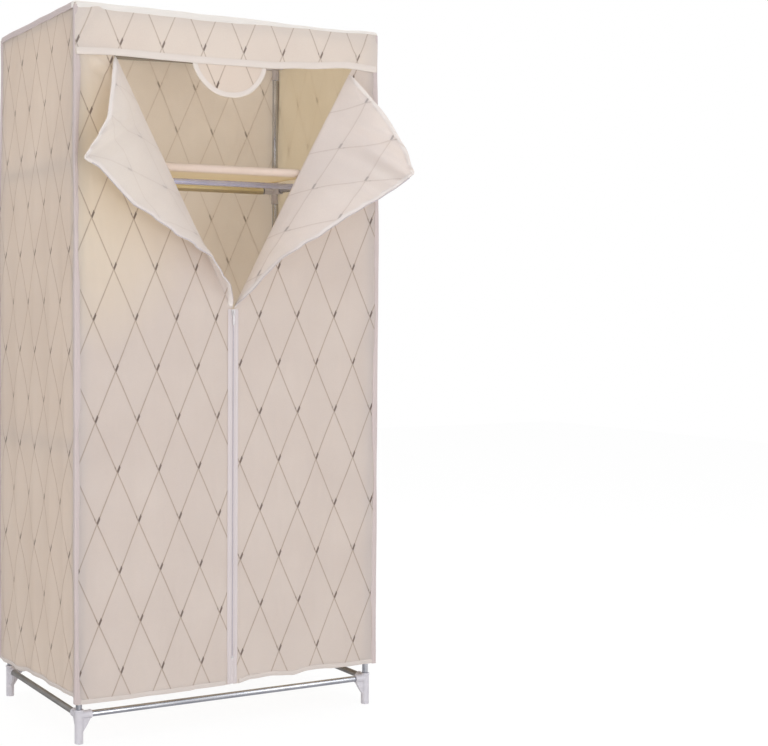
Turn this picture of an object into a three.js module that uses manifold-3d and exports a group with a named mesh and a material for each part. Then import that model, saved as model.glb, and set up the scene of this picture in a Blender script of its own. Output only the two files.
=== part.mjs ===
// Portable fabric wardrobe: a push-fit frame of thin steel tubes in plastic connectors, with a cloth
// shelf, a hanging rail and a zipped cloth cover whose two top front corners are folded back.
// Millimetres. X is the width, the front faces -Y and Z is up from the floor.

import * as THREE from 'three';
import { mergeVertices } from 'three/addons/utils/BufferGeometryUtils.js';
import Module from 'manifold-3d';

const wasm = await Module();
wasm.setup();

// Driving dimensions of the frame
const frameWidth = 740; // between the axes of the left and right uprights
const frameDepth = 450; // between the axes of the front and back uprights
const bottomRingHeight = 63; // floor to the axes of the bottom ring
const lowerSpan = 585; // bottom ring to the side braces
const middleSpan = 614; // side braces to the shelf
const upperSpan = 325; // shelf to the top ring
const tubeDiameter = 14;
const tubeWall = 0.8;

// Driving dimensions of the connectors
const socketWall = 1.7;
const stopWall = 1.7; // plastic left between the ends of two sockets
const armLength = 34; // joint centre to the mouth of a socket
const teeHalfHeight = 28; // the same, up and down on a brace tee
const teeArm = 30;
const footArmLength = 29;
const footMouth = 12; // bottom ring axis up to the mouth that takes the upright
const footSocketDepth = 35;
const footDiameter = 19;
const webThickness = 7; // webs between the arms and the leg of a foot
const webReach = 27;
const webDrop = 37;
const webFullness = 0.68; // how far the web's slanting edge stands out, 0.5 being hollow
const railDrop = 8; // rail axis below the axis of the bars that carry it
const clipWidth = 24;
const clipSlit = 8;

// Driving dimensions of the cloth
const clothThickness = 1.3;
const clothRoom = 2.7; // between a connector and the wall of the cover
const roofRise = 2.4;
const hemHeight = 90;
const hemWave = 3;
const valanceDrop = 106;
const tabHalfWidth = 91;
const tabDrop = 70;
const openingHalfWidth = 290; // of the opening at the valance
const openingDrop = 542; // valance to the point of the opening
const foldDepth = 4;
const seamMargin = 14; // flat cloth beside a seam
const shelfThickness = 1.2;
const shelfSetback = 4; // end of a shelf sleeve to the connector
const shelfInset = 60; // how far the side edges curve in
const shelfSag = 2;

// Driving dimensions of the zip
const tapeWidth = 12;
const tapeThickness = 0.9;
const chainGap = 1.6; // between the two halves of the chain
const chainHalfWidth = 2.4;
const chainThickness = 2.4;
const chainEnd = 62; // hem to the bottom stop
const stopHeight = 4;
const sliderLength = 15;
const sliderWidth = 10;
const plateThickness = 1.1;
const bridgeThickness = 1;
const bridgeHeight = 3;
const archWidth = 3; // the arch on the slider that holds the pull
const archLength = 7;
const archWall = 1;
const pullLength = 30;
const pullWidth = 6;
const pullThickness = 1.2;
const pullEyeLength = 5;
const pullWaistShare = 0.8; // width of the pull's waist to its full width
const pullTipShare = 0.9; // length down to where its rounded tip starts

// Clearances
const fit = 0.3; // between pieces that touch
const overrun = 5; // cutters beyond what they cut

// Counts of facets
const tubeSides = 16;
const beadSides = 10;

// Places worked out from the sizes
const tubeRadius = tubeDiameter / 2;
const boreRadius = tubeRadius + fit;
const sleeveRadius = boreRadius + socketWall;
const stopDepth = boreRadius + stopWall; // joint centre to the bottom of a socket
const tubeInset = stopDepth + fit; // joint centre to the end of a tube
const halfWidth = frameWidth / 2;
const halfDepth = frameDepth / 2;
const braceHeight = bottomRingHeight + lowerSpan;
const shelfHeight = braceHeight + middleSpan;
const topHeight = shelfHeight + upperSpan;
const coverHalfWidth = halfWidth + sleeveRadius + clothRoom + clothThickness;
const coverHalfDepth = halfDepth + sleeveRadius + clothRoom + clothThickness;
const roofUnderside = topHeight + sleeveRadius + fit;
const wallTop = roofUnderside - fit;
const valanceBottom = wallTop - valanceDrop;
const doorTop = valanceBottom - fit;
const openingPoint = doorTop - openingDrop;
const wallHalfWidth = coverHalfWidth - clothThickness - fit; // front and back, between the sides

// Materials
const colours = {
  steel: { color: 0xb9bcc4, roughness: 0.32, metalness: 0.9 },
  plastic: { color: 0xdcdce2, roughness: 0.45, metalness: 0 },
  coverCloth: { color: 0xd6c6bb, roughness: 0.95, metalness: 0 },
  shelfCloth: { color: 0xe6dccb, roughness: 0.95, metalness: 0 },
  zipTape: { color: 0xeae2dc, roughness: 0.9, metalness: 0 },
  zipMetal: { color: 0xe8e6e4, roughness: 0.4, metalness: 0.3 },
};
const materials = Object.fromEntries(
  Object.entries(colours).map(([name, look]) => [name, new THREE.MeshStandardMaterial(look)]),
);

// Helpers that turn geometry into solids and back
function toSolid(geometry) {
  const bare = geometry.clone();
  bare.deleteAttribute('normal');
  bare.deleteAttribute('uv');
  const merged = mergeVertices(bare);
  return new wasm.Manifold(
    new wasm.Mesh({
      numProp: 3,
      vertProperties: new Float32Array(merged.attributes.position.array),
      triVerts: new Uint32Array(merged.index.array),
    }),
  );
}

function toGeometry(solid) {
  const mesh = solid.getMesh();
  const geometry = new THREE.BufferGeometry();
  const stride = mesh.numProp;
  const points = [];
  for (let vertex = 0; vertex < mesh.vertProperties.length; vertex += stride) {
    points.push(...mesh.vertProperties.slice(vertex, vertex + 3));
  }
  geometry.setAttribute('position', new THREE.Float32BufferAttribute(points, 3));
  geometry.setIndex(Array.from(mesh.triVerts));
  geometry.computeVertexNormals();
  return geometry;
}

function piece(name, geometry, material, parent) {
  const mesh = new THREE.Mesh(geometry, materials[material]);
  mesh.name = name;
  parent.add(mesh);
  return mesh;
}

// A straight round bar between two points, as a solid.
function bar(radius, from, to) {
  const along = to.clone().sub(from);
  const geometry = new THREE.CylinderGeometry(radius, radius, along.length(), tubeSides);
  const turn = new THREE.Quaternion().setFromUnitVectors(
    new THREE.Vector3(0, 1, 0),
    along.clone().normalize(),
  );
  geometry.applyQuaternion(turn);
  const middle = from.clone().add(to).multiplyScalar(1 / 2);
  geometry.translate(middle.x, middle.y, middle.z);
  return toSolid(geometry);
}

// A rectangular block between two corners, as a solid.
function block(low, high) {
  const size = high.clone().sub(low);
  const geometry = new THREE.BoxGeometry(size.x, size.y, size.z);
  const middle = low.clone().add(high).multiplyScalar(1 / 2);
  geometry.translate(middle.x, middle.y, middle.z);
  return toSolid(geometry);
}

const at = (x, y, z) => new THREE.Vector3(x, y, z);

const wardrobe = new THREE.Group();
const frame = new THREE.Group();
const cover = new THREE.Group();
wardrobe.add(frame, cover);

const corners = [
  { name: 'front_left', x: -1, y: -1 },
  { name: 'front_right', x: 1, y: -1 },
  { name: 'back_left', x: -1, y: 1 },
  { name: 'back_right', x: 1, y: 1 },
];

// Tubes
function tubeGeometry(length) {
  const inner = tubeRadius - tubeWall;
  const profile = [
    [inner, -length / 2],
    [tubeRadius, -length / 2],
    [tubeRadius, length / 2],
    [inner, length / 2],
    [inner, -length / 2],
  ].map(([radius, height]) => new THREE.Vector2(radius, height));
  return new THREE.LatheGeometry(profile, tubeSides);
}

function addTube(name, from, to) {
  const along = to.clone().sub(from);
  const tube = piece(name, tubeGeometry(along.length()), 'steel', frame);
  tube.position.copy(from).add(to).multiplyScalar(1 / 2);
  tube.quaternion.setFromUnitVectors(new THREE.Vector3(0, 1, 0), along.normalize());
  return tube;
}

const footSocketBottom = bottomRingHeight + footMouth - footSocketDepth;
for (const corner of corners) {
  const x = corner.x * halfWidth;
  const y = corner.y * halfDepth;
  const sections = [
    ['lower', footSocketBottom + fit, braceHeight - tubeInset],
    ['middle', braceHeight + tubeInset, shelfHeight - tubeInset],
    ['upper', shelfHeight + tubeInset, topHeight - tubeInset],
  ];
  for (const [part, bottom, top] of sections) {
    addTube(`upright_${part}_${corner.name}`, at(x, y, bottom), at(x, y, top));
  }
}

const rings = [
  ['bottom', bottomRingHeight],
  ['shelf', shelfHeight],
  ['top', topHeight],
];
for (const [ring, height] of rings) {
  for (const [place, y] of [['front', -halfDepth], ['back', halfDepth]]) {
    const reach = halfWidth - tubeInset;
    addTube(`${ring}_bar_${place}`, at(-reach, y, height), at(reach, y, height));
  }
}
for (const [ring, height] of [...rings, ['brace', braceHeight]]) {
  for (const [place, x] of [['left', -halfWidth], ['right', halfWidth]]) {
    const reach = halfDepth - tubeInset;
    addTube(`${ring}_bar_${place}`, at(x, -reach, height), at(x, reach, height));
  }
}

const railHeight = shelfHeight - railDrop;
const railReach = halfWidth - tubeInset;
addTube('hanging_rail', at(-railReach, 0, railHeight), at(railReach, 0, railHeight));

// Connectors, each about its joint centre, with their arms pointing into the frame
function socketed(body, arms) {
  let solid = body;
  for (const { way, length } of arms) {
    solid = solid.add(bar(sleeveRadius, at(0, 0, 0), way.clone().multiplyScalar(length)));
  }
  for (const { way, length, start = stopDepth } of arms) {
    const from = way.clone().multiplyScalar(start);
    solid = solid.subtract(bar(boreRadius, from, way.clone().multiplyScalar(length + overrun)));
  }
  return toGeometry(solid);
}

function knuckle() {
  const sphere = new THREE.SphereGeometry(sleeveRadius, tubeSides, tubeSides / 2);
  sphere.rotateX(Math.PI / 2);
  return toSolid(sphere);
}

const inX = (corner) => at(-corner.x, 0, 0);
const inY = (corner) => at(0, -corner.y, 0);
const up = at(0, 0, 1);
const down = at(0, 0, -1);

function topCorner(corner) {
  return socketed(knuckle(), [
    { way: inX(corner), length: armLength },
    { way: inY(corner), length: armLength },
    { way: down, length: armLength },
  ]);
}

function shelfJoint(corner) {
  return socketed(knuckle(), [
    { way: inX(corner), length: armLength },
    { way: inY(corner), length: armLength },
    { way: up, length: armLength },
    { way: down, length: armLength },
  ]);
}

function braceTee(corner) {
  return socketed(knuckle(), [
    { way: inY(corner), length: teeArm },
    { way: up, length: teeHalfHeight },
    { way: down, length: teeHalfHeight },
  ]);
}

// A web under an arm of a foot: a plate that fans out from the leg and thins towards the mouth.
function footWeb(way) {
  const outline = new THREE.Shape();
  outline.moveTo(0, 0);
  outline.lineTo(webReach, 0);
  outline.lineTo(webReach, -sleeveRadius);
  outline.quadraticCurveTo(
    webReach * webFullness,
    -webDrop * webFullness,
    footDiameter / 2,
    -webDrop,
  );
  outline.lineTo(0, -webDrop);
  outline.closePath();
  const web = new THREE.ExtrudeGeometry(outline, {
    depth: webThickness,
    bevelEnabled: false,
    curveSegments: 5,
  });
  web.translate(0, 0, -webThickness / 2);
  web.rotateX(Math.PI / 2);
  web.rotateZ(Math.atan2(way.y, way.x));
  return toSolid(web);
}

function foot(corner) {
  const leg = bar(footDiameter / 2, at(0, 0, -bottomRingHeight), at(0, 0, footMouth));
  const body = leg.add(footWeb(inX(corner))).add(footWeb(inY(corner)));
  return socketed(body, [
    { way: inX(corner), length: footArmLength },
    { way: inY(corner), length: footArmLength },
    { way: up, length: footMouth, start: footMouth - footSocketDepth },
  ]);
}

const connectors = [
  ['top_corner', topHeight, topCorner],
  ['shelf_joint', shelfHeight, shelfJoint],
  ['brace_tee', braceHeight, braceTee],
  ['foot', bottomRingHeight, foot],
];
for (const [kind, height, make] of connectors) {
  for (const corner of corners) {
    const connector = piece(`${kind}_${corner.name}`, make(corner), 'plastic', frame);
    connector.position.set(corner.x * halfWidth, corner.y * halfDepth, height);
  }
}

// Clips that snap over the side bars of the shelf ring and hold the ends of the rail
function railClip(side) {
  const inward = -side;
  const ring = bar(sleeveRadius, at(0, -clipWidth / 2, 0), at(0, clipWidth / 2, 0));
  const root = at(inward * tubeRadius, 0, -railDrop);
  const socket = bar(sleeveRadius, root, at(inward * armLength, 0, -railDrop));
  const reach = sleeveRadius + overrun;
  const slit = new THREE.BoxGeometry(reach, clipWidth + overrun, clipSlit);
  slit.translate(reach / 2, 0, 0);
  slit.rotateY(side > 0 ? Math.PI / 4 : (Math.PI * 3) / 4);
  const mouth = at(inward * (armLength + overrun), 0, -railDrop);
  const solid = ring
    .add(socket)
    .subtract(bar(boreRadius, at(0, -clipWidth, 0), at(0, clipWidth, 0)))
    .subtract(bar(boreRadius, at(inward * stopDepth, 0, -railDrop), mouth))
    .subtract(toSolid(slit));
  return toGeometry(solid);
}

for (const [name, side] of [['left', -1], ['right', 1]]) {
  const clip = piece(`rail_clip_${name}`, railClip(side), 'plastic', frame);
  clip.position.set(side * halfWidth, 0, shelfHeight);
}

// Shelf cloth: one panel with a sewn sleeve round the front bar and another round the back bar
function shelfCloth() {
  const outer = boreRadius + shelfThickness;
  const lip = Math.asin(boreRadius / outer); // where the panel's underside meets a sleeve
  const outline = new THREE.Shape();
  outline.moveTo(0, outer - shelfSag);
  outline.lineTo(halfDepth / 2, outer - (shelfSag * 3) / 4);
  outline.absarc(halfDepth, 0, outer, Math.PI / 2, lip - Math.PI, true);
  outline.absarc(halfDepth, 0, outer, lip - Math.PI, -Math.PI - lip, true);
  outline.lineTo(halfDepth / 2, boreRadius - (shelfSag * 3) / 4);
  outline.lineTo(0, boreRadius - shelfSag);
  outline.lineTo(-halfDepth / 2, boreRadius - (shelfSag * 3) / 4);
  outline.absarc(-halfDepth, 0, outer, lip, -Math.PI / 2, true);
  outline.absarc(-halfDepth, 0, outer, -Math.PI / 2, (-Math.PI * 3) / 2, true);
  outline.lineTo(-halfDepth / 2, outer - (shelfSag * 3) / 4);
  outline.closePath();
  for (const y of [-halfDepth, halfDepth]) {
    const hole = new THREE.Path();
    hole.absarc(y, 0, boreRadius, 0, Math.PI * 2, false);
    outline.holes.push(hole);
  }
  const reach = halfWidth - armLength - shelfSetback;
  const cloth = new THREE.ExtrudeGeometry(outline, {
    depth: reach * 2,
    bevelEnabled: false,
    curveSegments: tubeSides / 2,
  });
  cloth.translate(0, 0, -reach);
  cloth.rotateY(Math.PI / 2);
  cloth.rotateX(Math.PI / 2);

  const scoop = new THREE.Shape();
  const start = halfDepth - outer - fit;
  scoop.moveTo(reach + overrun, -start);
  scoop.lineTo(reach + overrun, start);
  scoop.lineTo(reach, start);
  scoop.quadraticCurveTo(reach - shelfInset, start, reach - shelfInset, 0);
  scoop.quadraticCurveTo(reach - shelfInset, -start, reach, -start);
  scoop.closePath();
  const cut = new THREE.ExtrudeGeometry(scoop, {
    depth: outer * 4,
    bevelEnabled: false,
    curveSegments: 5,
  });
  cut.translate(0, 0, -outer * 2);
  const otherCut = cut.clone().rotateZ(Math.PI);
  return toGeometry(toSolid(cloth).subtract(toSolid(cut)).subtract(toSolid(otherCut)));
}

piece('shelf_cloth', shelfCloth(), 'shelfCloth', frame).position.z = shelfHeight;

// A closed cloth sheet. face gives a point of its outer face, with u to the right and v up as seen
// from outside, and lining gives the matching point of its inner face.
function clothSheet(us, vs, face, lining) {
  const points = [];
  for (const side of [face, lining]) {
    for (const v of vs) {
      for (const u of us) {
        points.push(...side(u, v).toArray());
      }
    }
  }
  const across = us.length;
  const layer = across * vs.length;
  const triangles = [];
  const quad = (a, b, c, d) => triangles.push(a, b, c, a, c, d);
  for (let row = 0; row < vs.length - 1; row += 1) {
    for (let column = 0; column < across - 1; column += 1) {
      const a = row * across + column;
      const b = a + across;
      quad(a, a + 1, b + 1, b);
      quad(layer + a, layer + b, layer + b + 1, layer + a + 1);
    }
  }
  const rim = [];
  for (let column = 0; column < across - 1; column += 1) rim.push(column);
  for (let row = 0; row < vs.length - 1; row += 1) rim.push(row * across + across - 1);
  for (let column = across - 1; column > 0; column -= 1) rim.push(layer - across + column);
  for (let row = vs.length - 1; row > 0; row -= 1) rim.push(row * across);
  rim.forEach((a, place) => {
    const b = rim[(place + 1) % rim.length];
    quad(a, layer + a, layer + b, b);
  });
  const geometry = new THREE.BufferGeometry();
  geometry.setAttribute('position', new THREE.Float32BufferAttribute(points, 3));
  geometry.setIndex(triangles);
  geometry.computeVertexNormals();
  return geometry;
}

const evenly = (count) => Array.from({ length: count + 1 }, (_, step) => step / count);

// Stations across a sheet, with a flat margin at each seam and soft folds between the margins.
function seamed(width, folds) {
  const margin = seamMargin / width;
  const inside = evenly(folds * 4).map((share) => margin + share * (1 - margin * 2));
  return [0, ...inside, 1];
}

function foldAt(u, v, width, folds) {
  const margin = seamMargin / width;
  const share = THREE.MathUtils.clamp((u - margin) / (1 - margin * 2), 0, 1);
  const fading = THREE.MathUtils.lerp(1, 1 / 4, v);
  return foldDepth * fading * Math.sin(Math.PI * folds * share) ** 2;
}

// A wall of the cover, built facing the front and centred on its width.
function wallSheet(halfSpan, folds) {
  const span = halfSpan * 2;
  const height = (u, v) => {
    const hem = hemHeight + hemWave * Math.sin(Math.PI * folds * u) ** 2;
    return THREE.MathUtils.lerp(hem, wallTop, v);
  };
  const point = (u, v, depth) => at(u * span - halfSpan, depth - foldAt(u, v, span, folds), height(u, v));
  return clothSheet(
    seamed(span, folds),
    evenly(4),
    (u, v) => point(u, v, 0),
    (u, v) => point(u, v, clothThickness),
  );
}

const walls = [
  ['cover_back', wallHalfWidth, coverHalfDepth, Math.PI, 3],
  ['cover_left_side', coverHalfDepth, coverHalfWidth, -Math.PI / 2, 2],
  ['cover_right_side', coverHalfDepth, coverHalfWidth, Math.PI / 2, 2],
];
for (const [name, halfSpan, distance, turn, folds] of walls) {
  const wall = piece(name, wallSheet(halfSpan, folds), 'coverCloth', cover);
  wall.rotation.z = turn;
  wall.position.set(Math.sin(turn) * distance, -Math.cos(turn) * distance, 0);
}

// Roof, resting on the corner connectors and rising a little in the middle
function roofSheet() {
  const point = (u, v, lower) => {
    const rise = roofRise * Math.sin(Math.PI * u) * Math.sin(Math.PI * v);
    const x = (u * 2 - 1) * coverHalfWidth;
    return at(x, (v * 2 - 1) * coverHalfDepth, roofUnderside + clothThickness - lower + rise);
  };
  return clothSheet(
    evenly(6),
    evenly(4),
    (u, v) => point(u, v, 0),
    (u, v) => point(u, v, clothThickness),
  );
}

piece('cover_roof', roofSheet(), 'coverCloth', cover);

// Valance across the top of the front, with a round tab that hides the top of the closed zip. The
// tab's edge is a superellipse with slanting shoulders.
const tabShoulder = 2.2;
const tabRoundness = 1.47;

function valance() {
  const outline = new THREE.Shape();
  outline.moveTo(-wallHalfWidth, wallTop);
  outline.lineTo(-wallHalfWidth, valanceBottom);
  for (const share of evenly(14).map((step) => step * 2 - 1)) {
    const drop = tabDrop * (1 - Math.abs(share) ** tabShoulder) ** (1 / tabRoundness);
    outline.lineTo(share * tabHalfWidth, valanceBottom - drop);
  }
  outline.lineTo(wallHalfWidth, valanceBottom);
  outline.lineTo(wallHalfWidth, wallTop);
  outline.closePath();
  const cloth = new THREE.ExtrudeGeometry(outline, { depth: clothThickness, bevelEnabled: false });
  cloth.rotateX(Math.PI / 2);
  return cloth;
}

piece('cover_valance', valance(), 'coverCloth', cover).position.y =
  clothThickness - coverHalfDepth;

// Doors: full width below the point of the opening, and cut back along the fold line above it
const doorInset = chainGap / 2 + chainHalfWidth + fit * 2; // middle of the front to a door's edge
const foldSlope = openingHalfWidth / openingDrop;

function doorSheet(side) {
  const folds = 2;
  const rowsBelow = 5;
  const rowsAbove = 3;
  const rows = [
    ...evenly(rowsBelow).map((share) => [share, openingPoint, hemHeight]),
    ...evenly(rowsAbove).slice(1).map((share) => [share, doorTop, openingPoint]),
  ].map(([share, high, low]) => THREE.MathUtils.lerp(low, high, share));
  const innerEdge = (z) => Math.max(doorInset, (z - openingPoint) * foldSlope);
  const point = (u, row, depth) => {
    const z = rows[row];
    const inner = innerEdge(z);
    const across = side < 0 ? 1 - u : u;
    const x = side * THREE.MathUtils.lerp(inner, wallHalfWidth, across);
    const width = wallHalfWidth - doorInset;
    const wave = row === 0 ? hemWave * Math.sin(Math.PI * folds * across) ** 2 : 0;
    const share = row / (rows.length - 1);
    const shrink = (wallHalfWidth - inner) / width;
    return at(x, depth - shrink * foldAt(across, share, width, folds) - coverHalfDepth, z + wave);
  };
  const order = rows.map((_, row) => row);
  return clothSheet(
    seamed(wallHalfWidth - doorInset, folds),
    order,
    (u, row) => point(u, row, 0),
    (u, row) => point(u, row, clothThickness),
  );
}

piece('cover_left_door', doorSheet(-1), 'coverCloth', cover);
piece('cover_right_door', doorSheet(1), 'coverCloth', cover);

// Flaps: the corner of each door above its fold line, turned outwards and curling off the door.
// A flap is ruled square to the fold line, from the point of the opening up to the valance.
const foldLength = Math.hypot(openingHalfWidth, openingDrop);
const cornerShare = (openingDrop / foldLength) ** 2; // where the free corner's ruling starts
const flapHeight = (openingHalfWidth * openingDrop) / foldLength;
const flapStartShare = 0.03;
const flapEndShare = 0.985;
const flapLift = THREE.MathUtils.degToRad(31); // off the door at the free corner
const flapLiftAtPoint = THREE.MathUtils.degToRad(20); // more than that at the point of the opening
const flapCurl = THREE.MathUtils.degToRad(12);

function flapSheet(side) {
  const alongFold = at(side * openingHalfWidth, 0, openingDrop).normalize();
  const overDoor = at(side * alongFold.z, 0, -side * alongFold.x);
  const offDoor = at(0, -1, 0);
  const point = (s, share, thickness) => {
    const below = Math.max(0, 1 - s / cornerShare);
    const taper = s < cornerShare ? s / cornerShare : (1 - s) / (1 - cornerShare);
    const reach = flapHeight * taper - chainGap;
    const lift = flapLift + flapLiftAtPoint * below ** 1.3;
    const first = lift + flapCurl;
    const angle = first - flapCurl * 2 * share;
    const radius = reach / (flapCurl * 2);
    const out = radius * (Math.sin(first) - Math.sin(angle)) + fit * 2 * Math.cos(lift);
    const off = radius * (Math.cos(angle) - Math.cos(first)) + fit * 2 * Math.sin(lift);
    return at(0, -coverHalfDepth, openingPoint)
      .addScaledVector(alongFold, s * foldLength)
      .addScaledVector(overDoor, out - thickness * Math.sin(angle))
      .addScaledVector(offDoor, off + thickness * Math.cos(angle));
  };
  const below = evenly(5).map((t) => THREE.MathUtils.lerp(flapStartShare, cornerShare, t));
  const above = evenly(2).slice(1).map((t) => THREE.MathUtils.lerp(cornerShare, flapEndShare, t));
  const stations = [...below, ...above];
  const shares = evenly(4);
  if (side > 0) stations.reverse();
  return clothSheet(
    stations,
    shares,
    (s, share) => point(s, share, clothThickness),
    (s, share) => point(s, share, 0),
  );
}

piece('cover_left_flap', flapSheet(-1), 'coverCloth', cover);
piece('cover_right_flap', flapSheet(1), 'coverCloth', cover);

// Zip: a tape and half a coil chain on each door, closed by the slider that stands at the point of
// the opening and stopped at the bottom by a crimp
const tapeFront = -coverHalfDepth - fit - tapeThickness;
const chainFront = tapeFront - (chainThickness - tapeThickness) / 2;
const chainMiddle = chainFront + chainThickness / 2;
const stopTop = hemHeight + chainEnd + stopHeight;

function zipHalf(side) {
  const inner = chainGap / 2;
  const tapeRoot = inner + chainHalfWidth / 2;
  const tape = block(
    at(Math.min(side * tapeRoot, side * (inner + tapeWidth)), tapeFront, hemHeight + hemWave),
    at(Math.max(side * tapeRoot, side * (inner + tapeWidth)), tapeFront + tapeThickness, openingPoint),
  );
  const outline = new THREE.Shape();
  outline.absellipse(0, 0, chainHalfWidth / 2, chainThickness / 2, 0, Math.PI * 2, false, 0);
  const length = openingPoint - stopTop - fit;
  const chain = new THREE.ExtrudeGeometry(outline, {
    depth: length,
    bevelEnabled: false,
    curveSegments: beadSides,
  });
  chain.translate(side * tapeRoot, chainMiddle, stopTop + fit);
  return toGeometry(tape.add(toSolid(chain)));
}

piece('zip_left_half', zipHalf(-1), 'zipTape', cover);
piece('zip_right_half', zipHalf(1), 'zipTape', cover);

// Bottom stop: a crimp across both halves, over the tapes
function zipStop() {
  const reach = chainGap / 2 + chainHalfWidth;
  const outline = new THREE.Shape();
  const height = chainThickness / 2;
  outline.moveTo(-reach, 0);
  outline.lineTo(-reach, -height / 2);
  outline.quadraticCurveTo(-reach, -height, 0, -height);
  outline.quadraticCurveTo(reach, -height, reach, -height / 2);
  outline.lineTo(reach, 0);
  outline.closePath();
  const crimp = new THREE.ExtrudeGeometry(outline, {
    depth: stopHeight,
    bevelEnabled: false,
    curveSegments: 4,
  });
  return crimp;
}

piece('zip_bottom_stop', zipStop(), 'zipMetal', cover).position.set(
  0,
  tapeFront - fit,
  hemHeight + chainEnd,
);

// Slider: a front and a back plate round the chain, joined by a bridge between the two halves, with
// an arch on the front that the pull hangs from
const sliderTop = openingPoint;
const sliderMiddle = sliderTop - sliderLength / 2;
const frontPlateBack = chainFront - fit;
const frontPlateFront = frontPlateBack - plateThickness;
const backPlateFront = -coverHalfDepth + clothThickness + fit;
const pullBarRadius = pullThickness / 2;
const pinRoom = pullBarRadius + fit; // axis of the pull to the plate and the arch around it
const pullAxisDepth = frontPlateFront - pinRoom - fit;

function sliderPlate(back) {
  const outline = new THREE.Shape();
  const half = sliderLength / 2;
  outline.moveTo(-sliderWidth / 3, -half);
  outline.lineTo(sliderWidth / 3, -half);
  outline.quadraticCurveTo(sliderWidth / 2, -half / 2, sliderWidth / 2, half / 2);
  outline.lineTo(sliderWidth / 3, half);
  outline.lineTo(-sliderWidth / 3, half);
  outline.lineTo(-sliderWidth / 2, half / 2);
  outline.quadraticCurveTo(-sliderWidth / 2, -half / 2, -sliderWidth / 3, -half);
  const plate = new THREE.ExtrudeGeometry(outline, {
    depth: plateThickness,
    bevelEnabled: false,
    curveSegments: 4,
  });
  plate.rotateX(Math.PI / 2);
  plate.translate(0, back, sliderMiddle);
  return toSolid(plate);
}

function slider() {
  const bridge = block(
    at(-bridgeThickness / 2, frontPlateBack - plateThickness / 2, sliderTop - bridgeHeight),
    at(bridgeThickness / 2, backPlateFront + plateThickness / 2, sliderTop),
  );
  const archFront = pullAxisDepth - pinRoom - archWall;
  const arch = block(
    at(-archWidth / 2, archFront, sliderMiddle - archLength / 2),
    at(archWidth / 2, frontPlateBack - plateThickness / 2, sliderMiddle + archLength / 2),
  );
  const tunnel = block(
    at(-archWidth, pullAxisDepth - pinRoom, sliderMiddle - archLength / 2 + archWall),
    at(archWidth, frontPlateFront, sliderMiddle + archLength / 2 - archWall),
  );
  const body = sliderPlate(frontPlateBack)
    .add(sliderPlate(backPlateFront + plateThickness))
    .add(bridge)
    .add(arch.subtract(tunnel));
  return toGeometry(body);
}

piece('zip_slider', slider(), 'zipMetal', cover);

// Pull: a plate with an eye whose cross bar runs through the arch of the slider
function pull() {
  const eyeHalf = archWidth / 2 + fit;
  const half = pullWidth / 2;
  const outline = new THREE.Shape();
  outline.moveTo(-half, pullBarRadius);
  outline.lineTo(-half * pullWaistShare, -pullLength / 2);
  outline.lineTo(-half, -pullLength * pullTipShare);
  outline.quadraticCurveTo(0, -pullLength, half, -pullLength * pullTipShare);
  outline.lineTo(half * pullWaistShare, -pullLength / 2);
  outline.lineTo(half, pullBarRadius);
  outline.closePath();
  const eye = new THREE.Path();
  eye.moveTo(-eyeHalf, -pullBarRadius);
  eye.lineTo(eyeHalf, -pullBarRadius);
  eye.lineTo(eyeHalf, -pullBarRadius - pullEyeLength);
  eye.lineTo(-eyeHalf, -pullBarRadius - pullEyeLength);
  outline.holes.push(eye);
  const plate = new THREE.ExtrudeGeometry(outline, {
    depth: pullThickness,
    bevelEnabled: false,
    curveSegments: 4,
  });
  plate.translate(0, 0, -pullThickness / 2);
  plate.rotateX(Math.PI / 2);
  return plate;
}

piece('zip_pull', pull(), 'zipMetal', cover).position.set(0, pullAxisDepth, sliderMiddle);

// The whole stands with the middle of its box over the origin; the flaps reach out of the front.
const box = new THREE.Box3().setFromObject(wardrobe, true);
wardrobe.position.y = -(box.min.y + box.max.y) / 2;

export default wardrobe;
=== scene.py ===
import math

import bpy
from mathutils import Matrix, Vector, noise


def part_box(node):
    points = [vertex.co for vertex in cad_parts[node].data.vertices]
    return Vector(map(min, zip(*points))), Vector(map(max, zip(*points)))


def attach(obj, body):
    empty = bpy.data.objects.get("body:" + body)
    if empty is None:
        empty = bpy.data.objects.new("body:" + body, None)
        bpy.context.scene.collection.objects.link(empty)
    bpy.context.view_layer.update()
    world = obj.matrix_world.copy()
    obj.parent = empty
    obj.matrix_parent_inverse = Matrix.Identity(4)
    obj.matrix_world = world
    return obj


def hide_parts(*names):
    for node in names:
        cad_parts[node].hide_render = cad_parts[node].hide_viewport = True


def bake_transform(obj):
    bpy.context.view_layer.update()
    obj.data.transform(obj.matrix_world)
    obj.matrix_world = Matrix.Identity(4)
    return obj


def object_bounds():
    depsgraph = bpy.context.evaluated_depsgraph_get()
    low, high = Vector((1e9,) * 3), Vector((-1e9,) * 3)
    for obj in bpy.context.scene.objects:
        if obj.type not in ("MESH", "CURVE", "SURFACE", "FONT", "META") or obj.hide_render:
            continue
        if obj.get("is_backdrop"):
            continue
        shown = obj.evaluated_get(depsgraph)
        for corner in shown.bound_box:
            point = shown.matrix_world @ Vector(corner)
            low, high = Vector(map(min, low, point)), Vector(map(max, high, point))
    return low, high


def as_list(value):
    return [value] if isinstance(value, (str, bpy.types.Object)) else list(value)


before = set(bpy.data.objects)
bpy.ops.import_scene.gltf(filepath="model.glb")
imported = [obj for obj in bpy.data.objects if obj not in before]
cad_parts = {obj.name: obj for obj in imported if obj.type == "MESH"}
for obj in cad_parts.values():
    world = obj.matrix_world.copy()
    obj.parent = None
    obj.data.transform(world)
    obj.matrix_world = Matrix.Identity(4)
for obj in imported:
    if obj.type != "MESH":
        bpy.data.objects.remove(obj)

cad_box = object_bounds()
bpy.ops.object.select_all(action="DESELECT")
bpy.context.scene.view_settings.view_transform = "Standard"

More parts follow.
